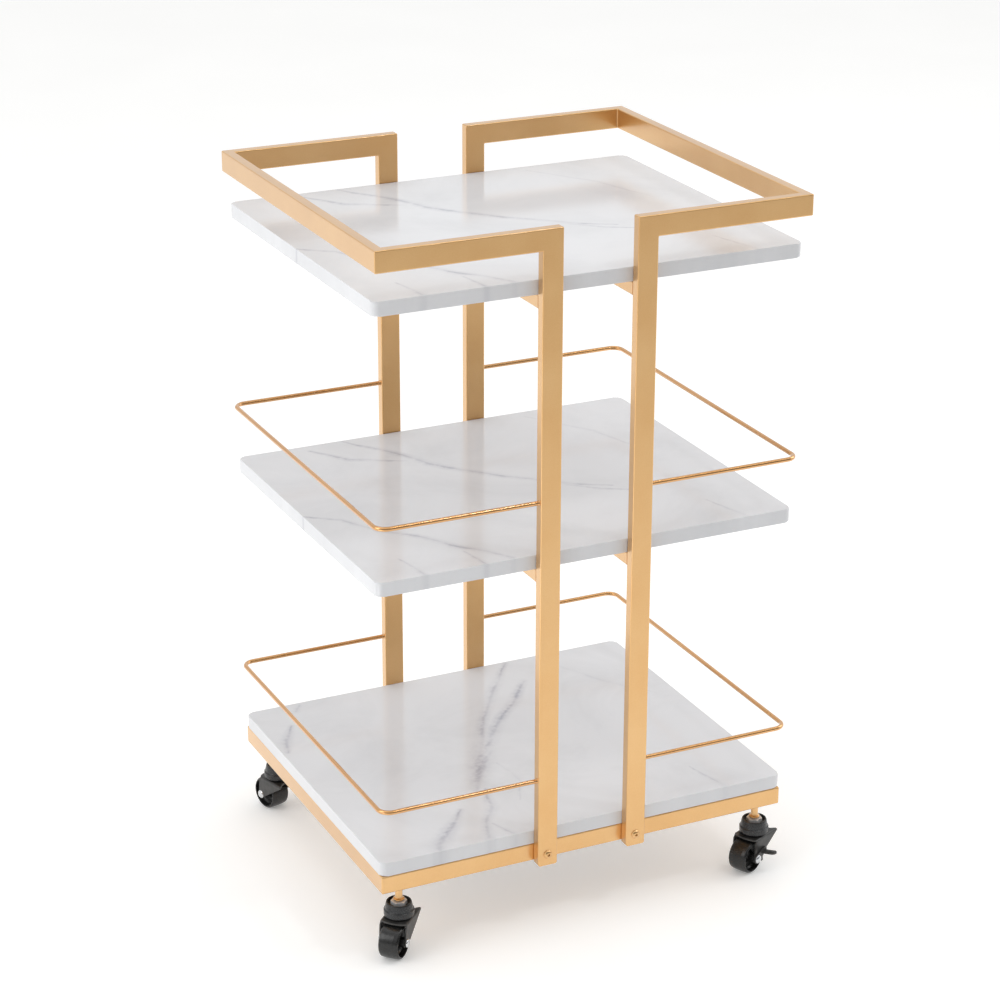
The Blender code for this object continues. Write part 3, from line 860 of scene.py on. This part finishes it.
def weldTree():
    # overlapping ripples of a hand-laid weld bead along a path
    tree, given = newTree("weldBead", {
        "Ripple Pitch": "Float",
        "Bead Width": "Float",
        "Bead Height": "Float",
        "Seed": "Int",
        "Finish": "Material",
    })
    line = addNode(tree, "GeometryNodeMeshToCurve", {}, {"Mesh": given["Geometry"]})
    steps = addNode(tree, "GeometryNodeResampleCurve", {"mode": "LENGTH"},
                    {"Curve": line, "Length": given["Ripple Pitch"]})
    along = addNode(tree, "GeometryNodeInputTangent")
    turn = addNode(tree, "FunctionNodeAlignRotationToVector", {"axis": "X"}, {"Vector": along})
    grain = addNode(tree, "GeometryNodeMeshIcoSphere", {"Radius": 1.0, "Subdivisions": 2})
    size = addNode(tree, "ShaderNodeCombineXYZ", {},
                   {0: given["Ripple Pitch"], 1: given["Bead Width"], 2: given["Bead Height"]})
    vary = addNode(tree, "FunctionNodeRandomValue", {"data_type": "FLOAT", 2: 0.86, 3: 1.08},
                   {"Seed": given["Seed"]})
    scale = addNode(tree, "ShaderNodeVectorMath", {"operation": "SCALE"},
                    {0: size, "Scale": vary.outputs[1]})
    ripples = addNode(tree, "GeometryNodeInstanceOnPoints", {},
                      {"Points": steps, "Instance": grain, "Rotation": turn, "Scale": scale})
    return closeTree(tree, ripples, given["Finish"])


def weldPaths():
    s = weldSizes
    paths = []
    for side in sides:
        for level in ("top", "middle"):
            low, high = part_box(f"{side}_{level}_bearer")
            start = low.x + s["bearerInset"] * mm
            end = high.x - s["bearerInset"] * mm
            for y in (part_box(f"{side}_front_post")[1].y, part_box(f"{side}_back_post")[0].y):
                paths.append([(start, y, low.z), (end, y, low.z)])
    frontLow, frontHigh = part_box("base_front_rail")
    wide = frontHigh.y - frontLow.y
    for x in (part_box("base_left_rail")[0].x + wide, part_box("base_right_rail")[1].x - wide):
        for y in (frontHigh.y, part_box("base_back_rail")[0].y):
            paths.append([(x, y, frontLow.z + s["ringInset"] * mm),
                          (x, y, frontHigh.z - s["ringInset"] * mm)])
    for corner in casterCorners:
        low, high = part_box(f"{corner}_stem")
        middle = (low + high) / 2
        circle = arc(middle.x, middle.y, s["stemRadius"] * mm, 0, 360, 28)
        paths.append([(x, y, frontLow.z) for x, y in circle])
    return paths


beads = pathObject("jointWeldBeads", weldPaths())
growWith(beads, weldTree(), {
    "Ripple Pitch": weldSizes["pitch"] * mm,
    "Bead Width": weldSizes["width"] * mm,
    "Bead Height": weldSizes["height"] * mm,
    "Seed": weldSizes["seed"],
    "Finish": gold,
})
assign(beads, "frame", [])
print("bolts and weld beads made")


# casters, built round their own stem on the floor and then set in place; pin and axle holes are all alike

casterSizes = {"trail": 15.75, "wheelRadius": 21.0, "hole": 3.1}


def hubPlace():
    return Matrix.Translation((casterSizes["trail"] * mm, 0, casterSizes["wheelRadius"] * mm))


def atHub(made):
    made.data.transform(hubPlace())
    return made


# threaded stem with its collar, and the pin riveted over under the fork
stemSizes = {
    "boss": 4.5,
    "top": 85.8,
    "collarTop": 70.6,
    "collar": 6.6,
    "collarLow": 68.4,
    "pin": 3.0,
    "pinLow": 44.1,
    "rivet": 5.2,
    "rivetLow": 42.0,
}


def stemBoss():
    s = stemSizes
    profile = roundedPath([
        (0.0, s["top"], 0), (s["boss"], s["top"], 0),
        (s["boss"], s["collarTop"] + 0.6, 1.2), (s["collar"], s["collarTop"] - 0.7, 0.5),
        (s["collar"], s["collarLow"], 0.3), (s["pin"], s["collarLow"], 0),
        (s["pin"], s["pinLow"], 0), (s["rivet"], s["pinLow"], 0.3),
        (4.8, 42.5, 0.8), (0.0, s["rivetLow"], 0),
    ])
    return smoothShade(objectFromBmesh("stemBoss", turned(profile, 40)))


nutSizes = {"corner": 9.8, "low": 61.95, "high": 67.0, "bore": 3.3, "face": 8.9}


def lockNut():
    # hexagon cut by a flat cone, which leaves the curved chamfers of a real nut
    s = nutSizes
    above = s["high"] + 0.3
    cone = [
        (0.0, s["low"] - 1), (20.0, s["low"] - 1), (20.0, s["high"] - 5.9),
        (s["face"], s["high"] - 0.05), (8.3, above), (0.0, above),
    ]
    nut = objectFromBmesh("lockNut", slab(hexagon(s["corner"]), s["low"], s["high"], "XY"))
    cutWith(nut, "INTERSECT", turned(cone, 64))
    cutWith(nut, "DIFFERENCE", rod(s["bore"], 60.0, 70.0))
    return smoothShade(nut, 25)


cupSizes = {
    "bore": 3.3,
    "low": 47.0,
    "flange": 18.1,
    "step": 16.2,
    "rim": 14.8,
    "recess": 12.8,
    "floor": 61.7,
    "top": 65.6,
}


def bearingCup():
    # two-step dust cover over the swivel bearing, with the recess for the nut
    s = cupSizes
    profile = roundedPath([
        (s["bore"], s["low"], 0), (14.8, s["low"], 0.4), (s["flange"], 49.5, 0.8), (s["flange"], 55.8, 0.7),
        (17.0, 56.7, 0.4), (16.6, 57.4, 0.3), (s["step"], 60.5, 0.8), (15.4, 64.4, 0.6),
        (s["rim"], s["top"], 0.3), (13.5, s["top"], 0.3), (s["recess"], s["floor"], 0.4),
        (s["bore"], s["floor"], 0),
    ], 4)
    return smoothShade(objectFromBmesh("bearingCup", turned(profile, 72)), 45)


# the fork's legs, crown plate and bends, and how far it goes before and behind the stem
forkSizes = {
    "outer": 17.1,
    "leg": 1.8,
    "top": 46.7,
    "plate": 2.2,
    "bend": 2.6,
    "bendSteps": 6,
    "edge": 0.3,
    "lead": -27.0,
    "rear": 16.0,
    "end": 4.8,
    "low": 5.0,
}


def channelSection():
    # inverted U of the pressed fork, seen from the front
    s = forkSizes
    side = s["outer"] - s["bend"]
    level = s["top"] - s["bend"]
    outer = [(s["outer"], s["low"])] + arc(side, level, s["bend"], 0, 90, s["bendSteps"])
    inner = []
    for i in range(s["bendSteps"] + 1):
        angle = math.radians(90 - 90 * i / s["bendSteps"])
        y = side + (s["bend"] - s["leg"]) * math.cos(angle)
        inner.append((y, level + (s["bend"] - s["plate"]) * math.sin(angle)))
    inner.append((s["outer"] - s["leg"], s["low"]))
    return outer + [(-y, z) for y, z in outer[::-1] + inner[::-1]] + inner


def pressedFork():
    s = forkSizes
    lead = s["lead"]
    rear = s["rear"]
    under = s["top"] - s["plate"]
    fork = objectFromBmesh("pressedFork", slab(channelSection(), -32, 32, "YZ"))
    # what the side view keeps: the raked nose, the round leg ends and the short tail
    profile = [(lead + 1.2, s["top"] + 2), (lead + 1.2, s["top"]), (lead, 45.2), (lead + 1.0, under - 0.8)]
    profile += arc(casterSizes["trail"], casterSizes["wheelRadius"], s["end"], -132, 8, 18)
    profile += [(rear + 3.0, 40.0), (rear + 0.1, 43.9), (rear + 5.3, 43.95), (rear + 5.3, s["top"] + 2)]
    cutWith(fork, "INTERSECT", slab(profile, -22, 22, "XZ"))
    # what the top view takes off: the notch in the nose, the curve of the tail, and both holes
    inside = s["outer"] - s["leg"]
    half = [(-34, inside), (lead + 1.2, inside), (-21.0, 10.5), (-19.6, 5.2)]
    notch = mirrored(half[::-1]) + [(-19.0, 0)] + half[::-1]
    curve = [(34, 20), (rear, 20), (rear, s["outer"]), (18.1, 14.6), (19.7, 10.8), (20.8, 6.0)]
    tail = curve + [(21.2, 0)] + mirrored(curve)
    across = rod(casterSizes["hole"], -22, 22, "Y")
    bmesh.ops.transform(across, matrix=hubPlace(), verts=across.verts)
    plates = [slab(outline, 43.85, 50, "XY") for outline in (notch, tail)]
    cutWith(fork, "DIFFERENCE", *plates, rod(casterSizes["hole"], 35, 55), across)
    easeEdges(fork, s["edge"], 2)
    return smoothShade(fork)


axleSizes = {"head": 5.3, "dome": 2.6, "shank": 3.0, "gap": 0.05}


def axleRivet(extra):
    # riveted axle with a domed head at each end
    s = axleSizes
    far = forkSizes["outer"] + s["gap"]
    near = far + extra
    angles = [math.radians(degrees) for degrees in range(0, 91, 10)]
    dome = [(s["head"] * math.sin(angle), s["dome"] * math.cos(angle)) for angle in angles]
    profile = [(r, -far - h) for r, h in dome]
    profile += [(s["shank"], -far), (s["shank"], near)]
    profile += [(r, near + h) for r, h in dome[::-1]]
    return atHub(smoothShade(objectFromBmesh("axleRivet", turned(profile, 40, "Y")), 50))


# half of the wheel's section, from the bore to the tread: radius, distance from its middle, rounding
wheelSizes = {
    "hub": [(3.1, 14.6, 0), (5.6, 14.6, 0.5), (6.4, 8.0, 0.8)],
    "web": [(8.0, 5.0, 0.5), (9.0, 4.2, 0.3), (15.6, 4.2, 0.8)],
    "rim": [(17.0, 6.2, 0.8), (17.8, 12.2, 0.5), (18.8, 12.5, 0.7)],
    "tread": [(20.5, 10.9, 2.0), (20.95, 6.0, 3.0), (20.98, 0.35, 0), (21.0, 0.2, 0)],
}


def casterWheel():
    # moulded wheel: crowned tread, raised side rim, dished web with ring steps, raised hub
    half = [spot for part in wheelSizes.values() for spot in part]
    path = half + [(r, -y, rounding) for r, y, rounding in half[::-1]]
    return atHub(smoothShade(objectFromBmesh("casterWheel", turned(roundedPath(path, 5), 96, "Y")), 45))


# the tab's place is measured from the axle; it lies on the stem's side, which is the negative one
brakeSizes = {
    "plate": 1.6,
    "gap": 0.3,
    "claw": 6.4,
    "lift": 7.8,
    "tab": 2.2,
    "tabFar": -17.8,
    "tabMiddle": -13.3,
    "tabNear": -8.8,
    "reach": 31.4,
    "tip": 4.5,
    "slope": 12,
    "edge": 0.3,
    "ridges": 4,
    "ridgePitch": 2.3,
    "ridgeRadius": 0.6,
    "ridgeLength": 6.4,
    "ridgeInset": 5.4,
}


def ridgeTree():
    # a row of half-round grip ridges
    tree, given = newTree("gripRidges", {
        "Count": "Int",
        "Pitch": "Vector",
        "Ridge Radius": "Float",
        "Ridge Length": "Float",
        "Finish": "Material",
    })
    row = addNode(tree, "GeometryNodeMeshLine", {"mode": "OFFSET"},
                  {"Count": given["Count"], "Offset": given["Pitch"]})
    bar = addNode(tree, "GeometryNodeMeshCylinder", {"Vertices": 12, "Side Segments": 1},
                  {"Radius": given["Ridge Radius"], "Depth": given["Ridge Length"]})
    lay = addNode(tree, "GeometryNodeTransform", {"Rotation": (0, math.pi / 2, 0)}, {"Geometry": bar})
    ridges = addNode(tree, "GeometryNodeInstanceOnPoints", {}, {"Points": row, "Instance": lay})
    return closeTree(tree, ridges, given["Finish"])


def joined(parts, name):
    # several closed shells as one plain mesh
    work = bmesh.new()
    for part in parts:
        work.from_mesh(part.data)
    for part in parts:
        bpy.data.objects.remove(part, do_unlink=True)
    return objectFromBmesh(name, work, merge=False)


def toeBrake(tree):
    # claw plate on the axle with a ridged tab bent out for the toe
    s = brakeSizes
    inner = forkSizes["outer"] + s["gap"]
    outer = inner + s["plate"]
    loop = arc(0.0, 0.0, s["claw"], -150, 75, 24)
    loop += roundedPath([
        (-7.0, 9.8, 0), (-15.0, 11.8, 1.5), (-18.2, 8.8, 1.5), (-18.1, 3.4, 1.0), (-12.0, 2.2, 1.0),
        (-9.8, 0.2, 1.5), (-10.5, -5.0, 0.8), (-8.0, -5.8, 0),
    ], 4)
    lever = objectFromBmesh("toeBrake", slab(loop, inner, outer, "XZ"))
    tab = [(s["tabFar"], inner - 1.0), (s["tabNear"], inner - 1.0), (s["tabNear"], s["reach"])]
    tab += arc(s["tabMiddle"], s["reach"], s["tip"], 0, 180, 16)[1:-1]
    tab += [(s["tabFar"], s["reach"])]
    # the tab rises towards its tip, which keeps its own height
    top = s["lift"] + s["tab"]
    tip = Vector((0, s["reach"] + s["tip"], top)) * mm
    slope = Matrix.Rotation(math.radians(s["slope"]), 4, "X")
    lean = Matrix.Translation(tip) @ slope @ Matrix.Translation(-tip)
    toe = slab(tab, s["lift"], top, "XY")
    bmesh.ops.transform(toe, matrix=lean, verts=toe.verts)
    cutWith(lever, "UNION", toe)
    # nothing of the tab goes inside the claw plate
    cutWith(lever, "DIFFERENCE",
            slab([(-30, inner - 6), (0, inner - 6), (0, inner), (-30, inner)], -12, 16, "XY"))
    cutWith(lever, "DIFFERENCE", rod(casterSizes["hole"], 10, 24, "Y"))
    smoothShade(easeEdges(lever, s["edge"], 2))
    ridges = pathObject("gripRidges", [])
    growWith(ridges, tree, {
        "Count": s["ridges"],
        "Pitch": (0, s["ridgePitch"] * mm, 0),
        "Ridge Radius": s["ridgeRadius"] * mm,
        "Ridge Length": s["ridgeLength"] * mm,
        "Finish": blackSteel,
    })
    start = (s["tabMiddle"] * mm, (s["reach"] - s["ridgeInset"]) * mm, top * mm)
    ridges.data.transform(lean @ Matrix.Translation(start))
    return atHub(joined([lever, ridges], "toeBrake"))


def setCasters():
    spinAxes = {joint["name"]: Vector(joint["axis"]) for joint in frame["joints"]}
    patterns = {
        "stem": (stemBoss(), "StemBoss", gold, "frame"),
        "nut": (lockNut(), "LockNut", paleZinc, "frame"),
        "cup": (bearingCup(), "BearingCup", darkCover, "frame"),
        "fork": (pressedFork(), "PressedFork", blackSteel, "swivel"),
        "axle": (axleRivet(0.0), "AxleRivet", zinc, "swivel"),
        "wheel": (casterWheel(), "NylonWheel", blackNylon, "roller"),
        "brake": (toeBrake(ridgeTree()), "ToeBrake", blackSteel, "lever"),
    }
    brakedAxle = axleRivet(brakeSizes["plate"] + brakeSizes["gap"])
    for corner in casterCorners:
        low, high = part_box(f"{corner}_stem")
        spot = (low + high) / 2
        spot.z = 0
        axis = spinAxes[f"{corner}_spin"]
        place = Matrix.Translation(spot) @ Matrix.Rotation(math.atan2(-axis.x, axis.y), 4, "Z")
        end, hand = corner.split("_")
        for part, (pattern, label, material, body) in patterns.items():
            if f"{corner}_{part}" not in frame["nodes"]:
                continue
            source = brakedAxle if part == "axle" and corner == "front_right" else pattern
            mesh = source.data.copy()
            mesh.transform(place)
            piece = objectFromMesh(end + hand.capitalize() + label, mesh, material)
            rider = "frame" if body == "frame" else f"{corner}_{body}"
            assign(piece, rider, [f"{corner}_{part}"])
    for pattern in [entry[0] for entry in patterns.values()] + [brakedAxle]:
        bpy.data.objects.remove(pattern, do_unlink=True)


setCasters()
print("casters made")


# pale floor that glows a little, with painted shade towards the viewer (a greyer colour and less glow) and a
# glowing painted pool of light at its left front

floorLook = {
    "colour": "#f7f7f6",
    "mottle": "#f3f3f2",
    # painted shade: the greyer colour the floor turns towards the viewer
    "paintedShadeColour": "#dcdcdb",
    "roughness": 0.75,
    "glow": 0.22,
    # how much of the glow is left in the painted shade towards the viewer
    "glowShareInPaintedShade": 0.3,
    # a painted pool of light: a brighter glowing disc on the floor at its left front
    "paintedPoolGlow": 3.0,
    "paintedPoolRadius": 0.55,
    "paintedPoolSpot": (-1.15, -0.75, 0.0),
    "size": 30.0,
}


def paleFloor():
    s = floorLook
    soft = {"interpolation_type": "SMOOTHSTEP"}
    made, tree, place = startMaterial("paleStudioFloor")
    mottle = addNode(tree, "ShaderNodeTexNoise", {"Scale": 3.0, "Detail": 2.0}, {"Vector": place})
    colours = {6: linearColour(s["mottle"]), 7: linearColour(s["colour"])}
    tone = addNode(tree, "ShaderNodeMix", {"data_type": "RGBA", **colours}, {0: mottle}).outputs[2]
    depth = addNode(tree, "ShaderNodeSeparateXYZ", {}, {0: place}).outputs["Y"]
    # painted shade: from 0.4 m in front of the trolley the floor turns greyer and glows less towards the
    # viewer, standing in for light falling off
    paintedShadeMask = addNode(tree, "ShaderNodeMapRange", {**soft, "From Min": -0.4, "From Max": -2.6},
                    {"Value": depth})
    body = addNode(tree, "ShaderNodeMix", {"data_type": "RGBA", 7: linearColour(s["paintedShadeColour"])},
                   {0: paintedShadeMask, 6: tone})
    # the floor's glow, dimmed by the same painted shade towards the viewer
    even = addNode(tree, "ShaderNodeMapRange", {"To Min": s["glow"], "To Max": s["glow"] * s["glowShareInPaintedShade"]},
                   {"Value": paintedShadeMask})
    # a painted pool of light: the floor glows brighter in a disc at its left front, so the tube edges turned
    # that way show highlights
    away = addNode(tree, "ShaderNodeVectorMath", {"operation": "DISTANCE", 1: s["paintedPoolSpot"]},
                   {0: place}).outputs[1]
    fade = {**soft, "From Max": s["paintedPoolRadius"], "To Min": s["paintedPoolGlow"], "To Max": 0.0}
    paintedLightPool = addNode(tree, "ShaderNodeMapRange", fade, {"Value": away})
    glow = addNode(tree, "ShaderNodeMath", {"operation": "ADD"}, {0: even, 1: paintedLightPool})
    shader = addNode(
        tree,
        "ShaderNodeBsdfPrincipled",
        {"Roughness": s["roughness"]},
        {"Base Color": body.outputs[2], "Emission Color": tone, "Emission Strength": glow},
    )
    addNode(tree, "ShaderNodeOutputMaterial", {}, {"Surface": shader})
    work = bmesh.new()
    bmesh.ops.create_grid(work, x_segments=2, y_segments=2, size=s["size"])
    floor = objectFromBmesh("studioFloor", work, made)


# soft round lamps: power, size, spot and the height they aim at on the trolley's middle line
lamps = {
    "overheadKey": (21.0, 3.4, (-0.5, 0.8, 4.8), 0.3),
    "leftSide": (31.0, 2.4, (-3.4, -0.3, 2.3), 0.3),
    "rightSide": (27.0, 2.4, (3.4, -0.3, 2.3), 0.3),
    "edgeGlint": (11.0, 0.45, (1.5, -1.6, 4.0), 0.6),
}


def softLamps():
    for name, (power, size, spot, height) in lamps.items():
        lamp = bpy.data.lights.new(name, "AREA")
        lamp.energy = power
        lamp.shape = "DISK"
        lamp.size = size
        made = bpy.data.objects.new(name, lamp)
        bpy.context.scene.collection.objects.link(made)
        made.location = spot
        made.rotation_euler = (Vector((0, 0, height)) - Vector(spot)).to_track_quat("-Z", "Y").to_euler()


roomLight = {"strength": 0.84, "frontShare": 0.03, "colour": "#ffffff"}


def whiteRoom():
    # an even white room, darker low down towards the viewer
    s = roomLight
    world = bpy.data.worlds.new("studioWorld")
    bpy.context.scene.world = world
    world.use_nodes = True
    tree = world.node_tree
    background = tree.nodes["Background"]
    soft = {"interpolation_type": "SMOOTHSTEP"}
    heading = addNode(tree, "ShaderNodeTexCoord").outputs["Generated"]
    axes = addNode(tree, "ShaderNodeSeparateXYZ", {}, {0: heading}).outputs
    towards = addNode(tree, "ShaderNodeMapRange", {**soft, "From Min": 0.1, "From Max": -0.9},
                      {"Value": axes["Y"]})
    lowDown = addNode(tree, "ShaderNodeMapRange", {**soft, "From Min": 0.85, "From Max": 0.1},
                      {"Value": axes["Z"]})
    shade = addNode(tree, "ShaderNodeMath", {"operation": "MULTIPLY"}, {0: towards, 1: lowDown})
    level = addNode(tree, "ShaderNodeMapRange",
                    {"To Min": s["strength"], "To Max": s["strength"] * s["frontShare"]},
                    {"Value": shade})
    tree.links.new(level.outputs[0], background.inputs["Strength"])
    background.inputs["Color"].default_value = linearColour(s["colour"])
    bpy.context.scene.view_settings.view_transform = "Standard"


# viewing direction in degrees, distance and aim in metres; the aim starts at the middle of the top board
viewSizes = {
    "azimuth": -25.536,
    "elevation": 21.620,
    "roll": -0.161,
    "distance": 3.38224,
    "lens": 100.21,
    "sensor": 36.0,
    "clipEnd": 60.0,
    "aim": (-0.00986, 0.00323, 0.45584),
}


def camera():
    s = viewSizes
    azimuth, elevation, roll = [math.radians(s[key]) for key in ("azimuth", "elevation", "roll")]
    flat = math.cos(elevation)
    back = Vector((math.sin(azimuth) * flat, -math.cos(azimuth) * flat, math.sin(elevation)))
    right = Vector((0, 0, 1)).cross(back).normalized()
    up = back.cross(right)
    level = right * math.cos(roll) - up * math.sin(roll)
    upright = right * math.sin(roll) + up * math.cos(roll)
    lens = bpy.data.cameras.new("productCamera")
    lens.lens = s["lens"]
    lens.sensor_width = s["sensor"]
    lens.clip_end = s["clipEnd"]
    made = bpy.data.objects.new("productCamera", lens)
    bpy.context.scene.collection.objects.link(made)
    turn = Matrix((level, upright, back)).transposed().to_4x4()
    boardLow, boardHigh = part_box("top_board")
    middle = (boardLow + boardHigh) / 2
    aim = Vector(s["aim"]) + Vector((middle.x, middle.y, 0))
    made.matrix_world = Matrix.Translation(aim + back * s["distance"]) @ turn
    bpy.context.scene.camera = made


paleFloor()
whiteRoom()
softLamps()
camera()
print("studio made")
